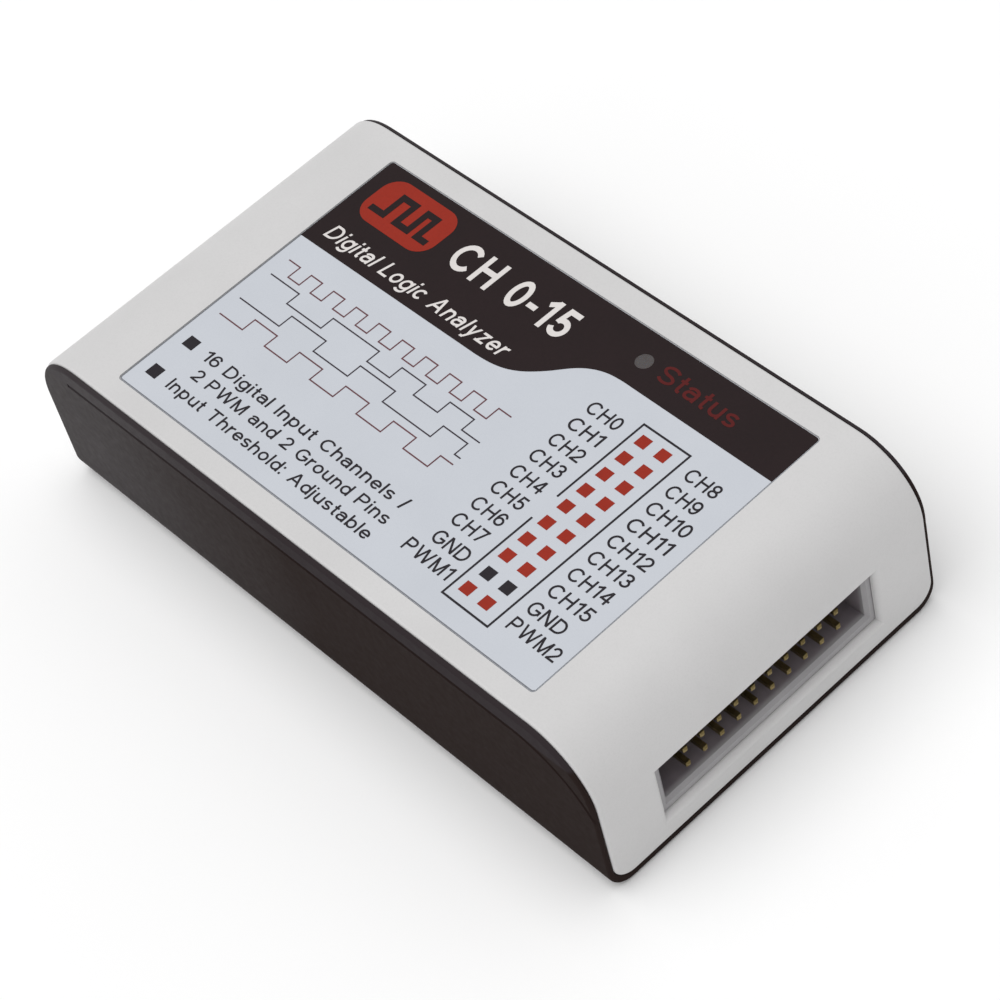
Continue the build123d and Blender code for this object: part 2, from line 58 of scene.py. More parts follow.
class Mat:
    """A material under construction: a Principled shader and the nodes that feed it."""

    def __init__(self, name, **sockets):
        self.m = bpy.data.materials.new(name)
        self.m.use_nodes = True
        self.t = self.m.node_tree
        self.t.nodes.clear()
        self.out = self.t.nodes.new("ShaderNodeOutputMaterial")
        self.b = self.t.nodes.new("ShaderNodeBsdfPrincipled")
        self.t.links.new(self.b.outputs["BSDF"], self.out.inputs["Surface"])
        self.pos = self.t.nodes.new("ShaderNodeTexCoord").outputs["Object"]
        for k, v in sockets.items():
            self.b.inputs[k.replace("_", " ")].default_value = v

    def node(self, kind, **props):
        n = self.t.nodes.new(kind)
        for k, v in props.items():
            setattr(n, k, v)
        return n

    def link(self, a, b):
        self.t.links.new(a, b)

    def mapped(self, scale, rotation=(0, 0, 0)):
        """Object coordinates stretched by scale along each axis."""
        n = self.node("ShaderNodeMapping")
        n.inputs["Scale"].default_value = scale
        n.inputs["Rotation"].default_value = rotation
        self.link(self.pos, n.inputs["Vector"])
        return n.outputs["Vector"]

    def noise(self, size_mm, detail=2.0, rough=0.5, vector=None, distortion=0.0):
        """Noise with features of about size_mm, 0..1."""
        n = self.node("ShaderNodeTexNoise")
        n.inputs["Scale"].default_value = 1.0 / (size_mm * MM)
        n.inputs["Detail"].default_value = detail
        n.inputs["Roughness"].default_value = rough
        n.inputs["Distortion"].default_value = distortion
        self.link(vector or self.pos, n.inputs["Vector"])
        return n.outputs["Fac"]

    def span(self, value, lo, hi, a=0.0, b=1.0, smooth=False):
        n = self.node("ShaderNodeMapRange")
        if smooth:
            n.interpolation_type = "SMOOTHSTEP"
        n.inputs["From Min"].default_value = lo
        n.inputs["From Max"].default_value = hi
        n.inputs["To Min"].default_value = a
        n.inputs["To Max"].default_value = b
        self.link(value, n.inputs["Value"])
        return n.outputs["Result"]

    def math(self, op, a, b=None):
        n = self.node("ShaderNodeMath", operation=op)
        for i, v in enumerate((a, b)):
            if v is None:
                continue
            if isinstance(v, (int, float)):
                n.inputs[i].default_value = v
            else:
                self.link(v, n.inputs[i])
        return n.outputs[0]

    def mix(self, fac, a, b, blend="MIX"):
        n = self.node("ShaderNodeMix", data_type="RGBA", blend_type=blend)
        if isinstance(fac, (int, float)):
            n.inputs[0].default_value = fac
        else:
            self.link(fac, n.inputs[0])
        for sock, v in ((n.inputs[6], a), (n.inputs[7], b)):
            if isinstance(v, tuple):
                sock.default_value = v
            else:
                self.link(v, sock)
        return n.outputs[2]

    def axis(self, which):
        n = self.node("ShaderNodeSeparateXYZ")
        self.link(self.pos, n.inputs[0])
        return n.outputs[which]

    def colour(self, value):
        self.link(value, self.b.inputs["Base Color"])

    def rough(self, value, lo, hi):
        self.link(self.span(value, 0.3, 0.7, lo, hi), self.b.inputs["Roughness"])

    def bump(self, *layers):
        """layers: (height socket, depth in mm, strength)."""
        normal = None
        for h, depth, strength in layers:
            n = self.node("ShaderNodeBump")
            n.inputs["Strength"].default_value = strength
            n.inputs["Distance"].default_value = depth * MM
            self.link(h, n.inputs["Height"])
            if normal is not None:
                self.link(normal, n.inputs["Normal"])
            normal = n.outputs["Normal"]
        self.link(normal, self.b.inputs["Normal"])


def moulded(name, a, b, rough=(0.42, 0.52), texture_mm=0.16, depth=0.006, cloud_mm=14.0,
            strength=0.35, painted_light=None, **sockets):
    """Injection-moulded plastic with a fine spark-eroded skin."""
    m = Mat(name, **sockets)
    clouds = m.span(m.noise(cloud_mm, 3.0, 0.55), 0.3, 0.7)
    specks = m.span(m.noise(0.22, 1.0, 0.5), 0.42, 0.75)
    base = m.mix(clouds, a, b)
    base = m.mix(m.math("MULTIPLY", specks, 0.18), base, scaled(b, 0.86))
    # painted light and shade layered onto the colour: the tray's painted reflection and sheen, the header's painted
    # cavity shade
    if painted_light is not None:
        base = painted_light(m, base)
    m.colour(base)
    m.rough(m.noise(0.9, 3.0, 0.6), *rough)
    m.bump((m.noise(1.6, 2.0, 0.5), depth * 1.5, strength * 0.35),
           (m.noise(texture_mm, 2.5, 0.6), depth, strength))
    return m.m


def ink(name, a, b, rough=(0.36, 0.46), **sockets):
    """Screen-printed ink: near-even colour with a faint mottle and a slight skin."""
    m = Mat(name, **sockets)
    mottle = m.span(m.noise(0.35, 3.0, 0.6), 0.32, 0.72)
    wide = m.span(m.noise(9.0, 2.0, 0.5), 0.3, 0.7)
    m.colour(m.mix(m.math("MULTIPLY", m.math("ADD", mottle, wide), 0.5), a, b))
    m.rough(m.noise(0.6, 2.0, 0.5), *rough)
    m.bump((m.noise(0.12, 2.0, 0.5), 0.003, 0.22),)
    return m.m


def plated(name, a, b, rough=(0.2, 0.34), grain=(1, 1, 1), grain_mm=0.3, depth=0.002, **sockets):
    """Bare or plated metal with a drawn grain and a cloudy finish."""
    m = Mat(name, Metallic=1.0, **sockets)
    streak = m.noise(grain_mm, 3.0, 0.55, vector=m.mapped(grain))
    cloud = m.span(m.noise(2.2, 3.0, 0.6), 0.32, 0.7)
    m.colour(m.mix(cloud, a, b))
    m.rough(streak, *rough)
    m.bump((streak, depth, 0.3),)
    return m.m


# --- casing -----------------------------------------------------------------
cover_plastic = moulded("white_cover_plastic", lin(209, 208, 208), lin(204, 203, 203),
                        rough=(0.46, 0.58), texture_mm=0.18, depth=0.006, strength=0.3,
                        Specular_IOR_Level=0.42)


def tray_painted_reflection_and_sheen(m, base):
    """Painted reflection and sheen: the dark plastic is painted greyer at the rear and darker, browner ahead, and is
    glossier at the rear; the strip above the groove keeps a painted greyer sheen.
    """
    along = m.span(m.axis(0), -0.046, 0.004, 0.0, 1.0, smooth=True)
    wander = m.span(m.noise(26.0, 2.0, 0.5), 0.25, 0.75, -0.12, 0.12)
    f = m.node("ShaderNodeMath", operation="ADD", use_clamp=True)
    m.link(along, f.inputs[0])
    m.link(wander, f.inputs[1])
    m.link(m.span(f.outputs[0], 0.0, 1.0, 0.075, 0.012), m.b.inputs["Specular IOR Level"])
    # painted reflection: the wall is lighter and greyer at the rear, darker and browner towards the front
    lower = m.mix(f.outputs[0], base, lin(42, 33, 31))
    # painted sheen on the strip above the groove, fading towards the front with the painted reflection
    upper = m.mix(f.outputs[0], lin(58, 53, 55), lin(52, 46, 48))
    strip_edge = m.span(m.axis(2), 0.0198, 0.0203, 0.0, 1.0, smooth=True)
    return m.mix(strip_edge, lower, upper)


# its colour carries a painted reflection along the wall and a painted sheen on the top strip
tray_plastic = moulded("dark_tray_plastic", lin(58, 53, 54), lin(53, 48, 49),
                       rough=(0.50, 0.60), texture_mm=0.20, depth=0.006, strength=0.28,
                       cloud_mm=12.0, painted_light=tray_painted_reflection_and_sheen)
light_pipe = moulded("milky_light_pipe", lin(98, 90, 90), lin(88, 81, 81),
                     rough=(0.22, 0.34), texture_mm=0.3, depth=0.003, strength=0.2,
                     Transmission_Weight=0.25, Subsurface_Weight=0.1)

# --- label ------------------------------------------------------------------
film = Mat("printed_label_film", Specular_IOR_Level=0.36)
_wide = film.span(film.noise(11.0, 3.0, 0.55), 0.3, 0.7)
_fine = film.span(film.noise(0.28, 3.0, 0.6), 0.3, 0.72)
_base = film.mix(_wide, lin(200, 204, 211), lin(196, 200, 207))
film.colour(film.mix(film.math("MULTIPLY", _fine, 0.25), _base, lin(190, 194, 203)))
film.rough(film.noise(1.2, 3.0, 0.6), 0.34, 0.44)
film.bump((film.noise(7.0, 2.0, 0.5), 0.02, 0.10), (film.noise(0.14, 2.0, 0.5), 0.004, 0.22))
label_film = film.m

ink_dark = ink("ink_warm_black", lin(40, 29, 30), lin(35, 26, 27), Specular_IOR_Level=0.12)
ink_text = ink("ink_charcoal", lin(42, 38, 43), lin(35, 32, 37), Specular_IOR_Level=0.16)
ink_grey = ink("ink_border_grey", lin(118, 120, 126), lin(104, 106, 112), Specular_IOR_Level=0.34)
ink_red = ink("ink_red", lin(154, 40, 22), lin(142, 36, 19), Specular_IOR_Level=0.2)
ink_dim_red = ink("ink_dim_red", lin(92, 30, 29), lin(82, 27, 27), Specular_IOR_Level=0.12)
ink_white = ink("ink_white", lin(226, 221, 218), lin(214, 209, 207), Specular_IOR_Level=0.34)
ink_trace = ink("ink_trace_dark", lin(58, 50, 58), lin(48, 42, 50), Specular_IOR_Level=0.2)
ink_rose = ink("ink_trace_rose", lin(104, 56, 62), lin(86, 48, 54), Specular_IOR_Level=0.34)

# --- metal ------------------------------------------------------------------
gold = plated("gold_flash_pins", lin(146, 130, 90), lin(118, 104, 66), rough=(0.32, 0.46),
              grain=(0.12, 1, 1), grain_mm=0.10)
nickel = plated("nickel_plated_steel", lin(196, 196, 194), lin(172, 172, 172), rough=(0.18, 0.34),
                grain=(0.1, 1, 1), grain_mm=0.12, depth=0.003)
zinc = plated("zinc_screw_steel", lin(150, 150, 152), lin(122, 122, 126), rough=(0.22, 0.40),
              grain=(1, 1, 1), grain_mm=0.4, depth=0.004)
tin = plated("matt_tin_lead", lin(196, 197, 198), lin(170, 172, 174), rough=(0.28, 0.46),
             grain_mm=0.18)
can = plated("brushed_can_metal", lin(202, 202, 200), lin(182, 182, 182), rough=(0.16, 0.3),
             grain=(0.1, 1, 1), grain_mm=0.1)

# --- header and inlet plastic -------------------------------------------------
def shroud_painted_cavity_shade(m, base):
    """Painted shade: the grey plastic stays plain at the mouth and is painted a darker, dusky purple-grey inside the
    cavity.
    """
    # painted shade, darker deeper into the cavity
    inside = m.span(m.axis(0), 0.0452, 0.0444, 0.0, 1.0, smooth=True)
    return m.mix(inside, base, m.mix(m.span(m.noise(2.4, 2.0), 0.3, 0.7), lin(134, 126, 131), lin(121, 114, 119)))


# its colour carries painted shade inside the cavity
shroud = moulded("grey_header_plastic", lin(162, 160, 162), lin(154, 152, 154), rough=(0.42, 0.54),
                 texture_mm=0.2, depth=0.006, strength=0.3, cloud_mm=6.0, painted_light=shroud_painted_cavity_shade,
                 Specular_IOR_Level=0.3)
insulator = moulded("white_inlet_insulator", lin(216, 214, 206), lin(206, 203, 194),
                    rough=(0.36, 0.5), texture_mm=0.15, depth=0.006, cloud_mm=4.0)

# --- board and its parts ------------------------------------------------------
pcb = Mat("solder_masked_laminate", Coat_Weight=0.3, Coat_Roughness=0.18)
_weave_x = pcb.node("ShaderNodeTexWave", wave_type="BANDS", bands_direction="X")
_weave_y = pcb.node("ShaderNodeTexWave", wave_type="BANDS", bands_direction="Y")
for _w in (_weave_x, _weave_y):
    _w.inputs["Scale"].default_value = 1.0 / (0.9 * MM)
    _w.inputs["Distortion"].default_value = 0.6
    pcb.link(pcb.pos, _w.inputs["Vector"])
_track = pcb.node("ShaderNodeTexVoronoi", feature="DISTANCE_TO_EDGE", voronoi_dimensions="2D")
_track.inputs["Scale"].default_value = 1.0 / (2.4 * MM)
pcb.link(pcb.pos, _track.inputs["Vector"])
_lines = pcb.span(_track.outputs["Distance"], 0.03, 0.06, 1.0, 0.0)
_weave = pcb.math("MULTIPLY", _weave_x.outputs["Fac"], _weave_y.outputs["Fac"])
_mask = pcb.mix(pcb.span(pcb.noise(5.0, 3.0), 0.3, 0.7), lin(22, 84, 52), lin(18, 72, 46))
_mask = pcb.mix(pcb.math("MULTIPLY", _weave, 0.18), _mask, lin(44, 112, 74))
pcb.colour(pcb.mix(pcb.math("MULTIPLY", _lines, 0.7), _mask, lin(40, 118, 78)))
pcb.rough(pcb.noise(0.5, 2.0), 0.3, 0.42)
pcb.bump((_weave, 0.01, 0.25), (_lines, 0.03, 0.4))
laminate = pcb.m

chip_mould = moulded("black_chip_mould", lin(44, 44, 45), lin(36, 36, 37), rough=(0.5, 0.64),
                     texture_mm=0.09, depth=0.006, cloud_mm=3.0)
resistor = moulded("resistor_glaze", lin(34, 34, 38), lin(28, 28, 31), rough=(0.22, 0.4),
                   texture_mm=0.12, depth=0.004, cloud_mm=0.8)
tantalum = moulded("tantalum_yellow_mould", lin(214, 160, 52), lin(200, 146, 44),
                   rough=(0.4, 0.52), texture_mm=0.1, depth=0.005, cloud_mm=2.0)
ceramic = moulded("capacitor_ceramic_tan", lin(168, 138, 102), lin(150, 120, 88),
                  rough=(0.36, 0.5), texture_mm=0.08, depth=0.005, cloud_mm=0.9)
ferrite = moulded("ferrite_grey_body", lin(78, 78, 80), lin(66, 66, 68), rough=(0.5, 0.7),
                  texture_mm=0.12, depth=0.012, cloud_mm=1.5)
fuse = moulded("fuse_green_body", lin(34, 96, 60), lin(28, 84, 52), rough=(0.36, 0.5),
               texture_mm=0.12, depth=0.005, cloud_mm=1.5)
led = moulded("led_milky_lens", lin(226, 222, 206), lin(214, 208, 190), rough=(0.16, 0.3),
              texture_mm=0.1, depth=0.003, cloud_mm=0.8, Subsurface_Weight=0.2)

finish = {
    "top_cover": cover_plastic, "bottom_case": tray_plastic, "top_label": label_film,
    "status_light_pipe": light_pipe, "case_screws": zinc, "main_pcb": laminate,
    "header_shroud": shroud, "header_pins": gold, "usb_inlet_shell": nickel,
    "usb_inlet_insulator": insulator, "usb_inlet_contacts": gold, "fpga_body": chip_mould,
    "fpga_leads": tin, "memory_body": chip_mould, "memory_leads": tin,
    "usb_controller": chip_mould, "config_flash_body": chip_mould, "config_flash_leads": tin,
    "input_buffer_bodies": chip_mould, "input_buffer_leads": tin,
    "input_resistor_arrays": resistor, "input_clamp_diodes": chip_mould,
    "voltage_regulator_bodies": chip_mould, "voltage_regulator_leads": tin,
    "tantalum_capacitors": tantalum, "ceramic_capacitors": ceramic, "chip_resistors": resistor,
    "power_inductor": ferrite, "resettable_fuse": fuse, "crystal_can": can, "status_led": led,
}
for name, node in nodes.items():
    node.data.materials.clear()
    node.data.materials.append(finish[name])


# ---------------------------------------------------------------------------
# Printing on the label: thin closed slabs of ink, one piece per group
# ---------------------------------------------------------------------------
FILM_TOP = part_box("top_label")[1].z / MM          # top face of the film, in mm
SINK = 0.02                                        # how far an ink slab reaches into what it lies on
INK_1 = FILM_TOP + 0.022                           # ink straight on the film
INK_2 = FILM_TOP + 0.042                           # ink on top of the dark band


def slab(name, points, faces, top, bottom, material):
    """A closed slab from flat faces: points in mm, faces as index tuples."""
    n = len(points)
    flat = []
    for f in faces:
        area = sum(points[f[i]][0] * points[f[(i + 1) % len(f)]][1]
                   - points[f[(i + 1) % len(f)]][0] * points[f[i]][1] for i in range(len(f)))
        if abs(area) < 1e-7:
            continue
        flat.append(tuple(f) if area > 0 else tuple(reversed(f)))
    verts = [(x * MM, y * MM, top * MM) for x, y in points]
    verts += [(x * MM, y * MM, bottom * MM) for x, y in points]
    edges = {}
    for f in flat:
        for i in range(len(f)):
            e = (f[i], f[(i + 1) % len(f)])
            edges[e] = edges.get(e, 0) + 1
    out = list(flat) + [tuple(n + i for i in reversed(f)) for f in flat]
    for (a, b) in edges:
        if (b, a) not in edges:
            out.append((a, n + a, n + b, b))
    me = bpy.data.meshes.new(name)
    me.from_pydata(verts, [], out)
    me.validate()
    me.update()
    me.materials.append(material)
    ob = bpy.data.objects.new(name, me)
    scene.collection.objects.link(ob)
    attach(ob, "root")
    return ob


def settled(x, y):
    """The label sits a little askew on the film's nominal grid."""
    return (x + 0.165 + 0.0004 * x + 0.0183 * y, y + 0.037 - 0.0089 * x - 0.0025 * y)


class Print:
    """Flat faces gathered for one slab."""

    def __init__(self, askew=True):
        self.p, self.f, self.askew = [], [], askew

    def add(self, points, faces):
        k = len(self.p)
        self.p += [settled(*p) if self.askew else tuple(p) for p in points]
        self.f += [tuple(i + k for i in f) for f in faces]
        return self

    def polygon(self, outer, *holes):
        loops = [[Vector((x, y, 0)) for x, y in loop] for loop in (outer,) + holes]
        tris = tessellate_polygon(loops)
        return self.add([(v.x, v.y) for loop in loops for v in loop], tris)

    def rect(self, x0, y0, x1, y1):
        return self.add([(x0, y0), (x1, y0), (x1, y1), (x0, y1)], [(0, 1, 2, 3)])

    def line(self, path, width, closed=False):
        """A mitred stroke along a path of straight runs."""
        n, h = len(path), width / 2
        left, right = [], []
        for i, p in enumerate(path):
            a = path[i - 1] if (i > 0 or closed) else None
            b = path[(i + 1) % n] if (i < n - 1 or closed) else None
            dirs = []
            for s, e in ((a, p), (p, b)):
                if s is not None and e is not None:
                    d = Vector((e[0] - s[0], e[1] - s[1]))
                    dirs.append(d.normalized())
            t = sum(dirs, Vector((0, 0))).normalized()
            m = Vector((-t.y, t.x))
            k = h / max(0.3, abs(m.dot(Vector((-dirs[0].y, dirs[0].x)))))
            ext = Vector((0, 0))
            if len(dirs) == 1:
                ext = dirs[0] * (h if a is not None else -h)
            left.append((p[0] + ext.x + m.x * k, p[1] + ext.y + m.y * k))
            right.append((p[0] + ext.x - m.x * k, p[1] + ext.y - m.y * k))
        runs = n if closed else n - 1
        faces = [(i, n + i, n + (i + 1) % n, (i + 1) % n) for i in range(runs)]
        return self.add(left + right, faces)

    def done(self, name, top, bottom, material):
        return slab(name, self.p, self.f, top, bottom, material)


# --- lettering: a plain sans drawn from strokes --------------------------------
XH, DROP = 0.73, 0.28                              # x-height and descender, in cap heights


def bow(cx, cy, rx, ry, a0, a1, steps=None):
    """Part of an ellipse as a run of points."""
    n = steps or max(3, int(abs(a1 - a0) / 15))
    return [(cx + rx * math.cos(math.radians(a0 + (a1 - a0) * i / n)),
             cy + ry * math.sin(math.radians(a0 + (a1 - a0) * i / n))) for i in range(n + 1)]


def strip(path, w, closed=False):
    """Quads of a stroke with square-cut ends along a run of points."""
    n, h = len(path), w / 2
    sides = []
    for i, p in enumerate(path):
        a = path[i - 1] if (i > 0 or closed) else None
        b = path[(i + 1) % n] if (i < n - 1 or closed) else None
        d = [Vector((e[0] - s[0], e[1] - s[1])).normalized()
             for s, e in ((a, p), (p, b)) if s is not None and e is not None]
        t = sum(d, Vector((0, 0))).normalized()
        m = Vector((-t.y, t.x))
        k = h / max(0.45, abs(m.dot(Vector((-d[0].y, d[0].x)))))
        sides.append(((p[0] + m.x * k, p[1] + m.y * k), (p[0] - m.x * k, p[1] - m.y * k)))
    runs = n if closed else n - 1
    return [[sides[i][0], sides[i][1], sides[(i + 1) % n][1], sides[(i + 1) % n][0]]
            for i in range(runs)]


def slant(x0, y0, x1, y1, w):
    """A slanted stroke cut level at both ends."""
    k = w / 2 * math.hypot(x1 - x0, y1 - y0) / abs(y1 - y0)
    return [[(x0 - k, y0), (x0 + k, y0), (x1 + k, y1), (x1 - k, y1)]]


def strokes(ch, w):
    """Width of a character's ink and its stroke pieces; cap height 1, stroke width w."""
    h = w / 2
    q = []

    def s(*pts):
        q.extend(strip(list(pts), w))

    def run(pts, closed=False):
        q.extend(strip(pts, w, closed))

    def ring(x0, y0, x1, y1):
        cx, cy, rx, ry = (x0 + x1) / 2, (y0 + y1) / 2, (x1 - x0) / 2 - h, (y1 - y0) / 2 - h
        q.extend(strip(bow(cx, cy, rx, ry, 0, 345, 23), w, True))

    mid = XH / 2
    if ch == "o":
        W = 0.68; ring(0, 0, W, XH)
    elif ch == "c":
        W = 0.62; run(bow(W / 2 + 0.02, mid, W / 2 - h + 0.02, mid - h, 42, 318))
    elif ch == "e":
        W = 0.68; run(bow(W / 2, mid, W / 2 - h, mid - h, 0, 322)); s((h * 0.8, mid + 0.0), (W - h * 0.2, mid + 0.0))
    elif ch == "a":
        W = 0.66; top = mid + h * 0.9
        run(bow(W / 2 - 0.02, XH - h - 0.19, W / 2 - h, 0.19, 165, 15) + [(W - h - 0.02, XH * 0.55), (W - h - 0.02, 0.0)])
        run([(W - h - 0.02, top)] + bow(h + 0.16, (top + h) / 2, 0.16, (top - h) / 2, 90, 270)
            + [(W - h - 0.22, h), (W - h - 0.02, h + 0.12)])
    elif ch == "b":
        W = 0.68; s((h, 0), (h, 1)); ring(0, 0, W, XH)
    elif ch == "d":
        W = 0.68; s((W - h, 0), (W - h, 1)); ring(0, 0, W, XH)
    elif ch == "p":
        W = 0.68; s((h, -DROP), (h, XH)); ring(0, 0, W, XH)
    elif ch == "g":
        W = 0.68; ring(0, 0, W, XH)
        run([(W - h, XH)] + bow(W / 2, -DROP + h + 0.17, W / 2 - h, 0.17, 0, -160))
    elif ch in "hn":
        W = 0.63; s((h, 0), (h, 1 if ch == "h" else XH))
        run(bow(W / 2, XH - h - 0.24, W / 2 - h, 0.24, 165, 0) + [(W - h, 0)])
    elif ch == "m":
        W = 1.02; s((h, 0), (h, XH))
        for c0 in (h, W / 2):
            c1 = c0 + W / 2 - h
            run(bow((c0 + c1) / 2, XH - h - 0.22, (c1 - c0) / 2, 0.22, 165, 0) + [(c1, 0)])
    elif ch == "u":
        W = 0.63; s((W - h, 0), (W - h, XH))
        run([(h, XH)] + bow(W / 2, h + 0.24, W / 2 - h, 0.24, 180, 345))
    elif ch == "r":
        W = 0.40; s((h, 0), (h, XH)); run(bow(h + 0.29, XH - h - 0.27, 0.29, 0.27, 170, 78))
    elif ch in "ij":
        W = w; s((h, 1 - w * 1.05), (h, 1))
        if ch == "i":
            s((h, 0), (h, XH))
        else:
            run([(h, XH)] + bow(h - 0.13, -DROP + h + 0.12, 0.13, 0.12, 0, -80))
    elif ch == "l":
        W = w; s((h, 0), (h, 1))
    elif ch == "t":
        W = 0.34; run([(0.10 + h, 0.95), (0.10 + h, h + 0.12), (0.13 + h, h + 0.03), (0.19 + h, h), (W, h)])
        s((0, XH - h), (W, XH - h))
    elif ch in "sS":
        W, H, c = (0.60, XH, 30) if ch == "s" else (0.80, 1.0, 22)
        ry = (H - 2 * h) / 4; rx = W / 2 - h
        run(bow(W / 2, H - h - ry, rx, ry, c, 250) + bow(W / 2, h + ry, rx, ry, 70, -180 + c))
    elif ch == "y":
        W = 0.64; k = h * 1.06
        q.extend(slant(W / 2 + 0.0, 0.02, k, XH, w)); q.extend(slant(W / 2 - 0.105, -DROP + h, W - k, XH, w))
        s((0.04, -DROP + h), (W / 2 - 0.06, -DROP + h))
    elif ch == "z":
        W = 0.60; s((0.02, XH - h), (W, XH - h)); s((0, h), (W, h))
        q.extend(slant(h * 1.5, h, W - h * 1.5, XH - h, w))
    elif ch == "A":
        W = 0.92; k = h * 1.1
        q.extend(slant(k, 0, W / 2, 1, w)); q.extend(slant(W - k, 0, W / 2, 1, w)); s((0.2, 0.33), (W - 0.2, 0.33))
    elif ch in "CG":
        W = 0.90; run(bow(W / 2 + 0.01, 0.5, W / 2 - h + 0.01, 0.5 - h, 38, 322 if ch == "C" else 335))
        if ch == "G":
            s((W * 0.54, 0.46), (W - h * 0.2, 0.46)); s((W - h, 0.46 + h * 0.5), (W - h, 0.2))
    elif ch == "D":
        W = 0.84; s((h, 0), (h, 1))
        run([(h, 1 - h)] + bow(W - h - 0.40, 0.5, 0.40, 0.5 - h, 90, -90) + [(h, h)])
    elif ch == "H":
        W = 0.78; s((h, 0), (h, 1)); s((W - h, 0), (W - h, 1)); s((h, 0.53), (W - h, 0.53))
    elif ch == "I":
        W = w; s((h, 0), (h, 1))
    elif ch == "L":
        W = 0.64; s((h, 0), (h, 1)); s((h, h), (W, h))
    elif ch == "M":
        W = 0.94; s((h, 0), (h, 1)); s((W - h, 0), (W - h, 1))
        q.extend(slant(W / 2, 0, h * 1.08, 1, w)); q.extend(slant(W / 2, 0, W - h * 1.08, 1, w))
    elif ch == "N":
        W = 0.78; s((h, 0), (h, 1)); s((W - h, 0), (W - h, 1)); q.extend(slant(W - h * 1.1, 0, h * 1.1, 1, w))
    elif ch == "P":
        W = 0.76; s((h, 0), (h, 1))
        run([(h, 1 - h)] + bow(W - h - 0.27, (1.45 - h) / 2, 0.27, (0.55 - h) / 2, 90, -90) + [(h, 0.45)])
    elif ch == "T":
        W = 0.82; s((0, 1 - h), (W, 1 - h)); s((W / 2, 0), (W / 2, 1))
    elif ch == "W":
        W = 1.30; k = h * 1.04
        for x0, x1 in ((k, 0.27 * W), (W / 2, 0.27 * W), (W / 2, 0.73 * W), (W - k, 0.73 * W)):
            q.extend(slant(x1, 0, x0, 1, w))
    elif ch == "0":
        W = 0.66; ring(0, 0, W, 1)
    elif ch == "1":
        W = 0.40; s((W - h, 0), (W - h, 1)); run([(W - h, 1 - h * 0.8), (W - h - 0.10, 0.86), (0.02, 0.74)])
    elif ch == "2":
        W = 0.67; run(bow(W / 2, 1 - h - 0.26, W / 2 - h, 0.26, 172, -38) + [(h * 1.1, h * 1.3)])
        s((0, h), (W, h))
    elif ch == "3":
        W = 0.66
        run(bow(W / 2 - 0.01, 0.76 - h / 2, W / 2 - h - 0.02, 0.24 - h / 2, 165, -80) + [(W * 0.42, 0.53)])
        run([(W * 0.42, 0.53)] + bow(W / 2, (0.55 + h) / 2, W / 2 - h, (0.55 - h) / 2, 80, -168))
    elif ch == "4":
        W = 0.70; s((W - 0.14 - h, 0), (W - 0.14 - h, 1)); s((0, 0.25 + h), (W, 0.25 + h))
        q.extend(slant(h * 1.0, 0.25 + h, W - 0.14 - h * 1.25, 1, w))
    elif ch == "5":
        W = 0.67; s((0.13, 1 - h), (W - 0.04, 1 - h)); s((0.13 + h, 1 - h * 0.5), (0.06 + h, 0.44))
        run(bow(W / 2, 0.33, W / 2 - h, 0.33 - h, 142, -165))
    elif ch in "69":
        W = 0.67; k = len(q); ring(0, 0, W, 0.66)
        run(bow(W / 2 + 0.01, 0.53, W / 2 - h + 0.01, 0.47 - h, 28, 180) + [(h, 0.36)])
        if ch == "9":
            q[:] = [[(W - x, 1 - y) for x, y in f] for f in q]
    elif ch == "7":
        W = 0.66; s((0, 1 - h), (W, 1 - h)); q.extend(slant(0.22, 0, W - h * 1.3, 1 - h, w))
    elif ch == "8":
        W = 0.66; ring(0.03, 0.5 - h * 0.9, W - 0.03, 1); ring(0, 0, W, 0.5 + h * 0.9)
    elif ch == "/":
        W = 0.40; q.extend(slant(h * 1.2, -0.02, W - h * 1.2, 1.02, w))
    elif ch == "-":
        W = 0.36; s((0, 0.40), (W, 0.40))
    elif ch == ":":
        W = w * 1.1; s((W / 2, 0), (W / 2, w * 1.15)); s((W / 2, XH - w * 1.15), (W / 2, XH))
    else:
        W = 0.0
    return W, q


ROUND = "CGOSceoadgqs0235689"


def merged(pieces):
    """The outline area of overlapping pieces as faces that touch but never overlap."""
    pts, faces = [], []
    for f in pieces:
        area = sum(f[i][0] * f[(i + 1) % len(f)][1] - f[(i + 1) % len(f)][0] * f[i][1]
                   for i in range(len(f)))
        if abs(area) < 1e-9:
            continue
        k = len(pts)
        pts += [Vector(p) for p in (f if area > 0 else f[::-1])]
        faces.append(list(range(k, k + len(f))))
    out, _, tris, _, _, came = delaunay_2d_cdt(pts, [], faces, 1, 1e-5)
    return ([(p.x, p.y) for p in out],
            [tuple(t) for t, src in zip(tris, came) if src])


def lettering(string, weight, slope):
    """Points, faces and right end of a string with cap height 1, starting at x 0."""
    points, faces, x, last = [], [], 0.0, None
    for ch in string:
        if ch == " ":
            x += 0.62
            last = None
            continue
        W, q = strokes(ch, weight)
        if last is not None:
            x += (0.08 if last in ROUND else 0.11) + (0.03 if ch in ROUND else 0.06)
        p, f = merged(q)
        k = len(points)
        points += [(x + a + b * slope, b) for a, b in p]
        faces += [tuple(i + k for i in g) for g in f]
        x += W
        last = ch
    return points, faces, x


def words(into, string, x0, x1, baseline, cap, weight=0.142, slope=0.0):
    """Sets a string between x0 and x1 in mm, capitals cap high."""
    points, faces, right_end = lettering(string, weight, slope)
    sx = (x1 - x0) / right_end
    into.add([(x0 + x * sx, baseline + y * cap) for x, y in points], faces)
    return into


def arc(cx, cy, r, a0, a1, steps):
    return [(cx + r * math.cos(math.radians(a0 + (a1 - a0) * i / steps)),
             cy + r * math.sin(math.radians(a0 + (a1 - a0) * i / steps))) for i in range(steps + 1)]


def rounded(x0, y0, x1, y1, r, steps=8):
    return (arc(x1 - r, y1 - r, r, 0, 90, steps) + arc(x0 + r, y1 - r, r, 90, 180, steps)
            + arc(x0 + r, y0 + r, r, 180, 270, steps) + arc(x1 - r, y0 + r, r, 270, 360, steps))


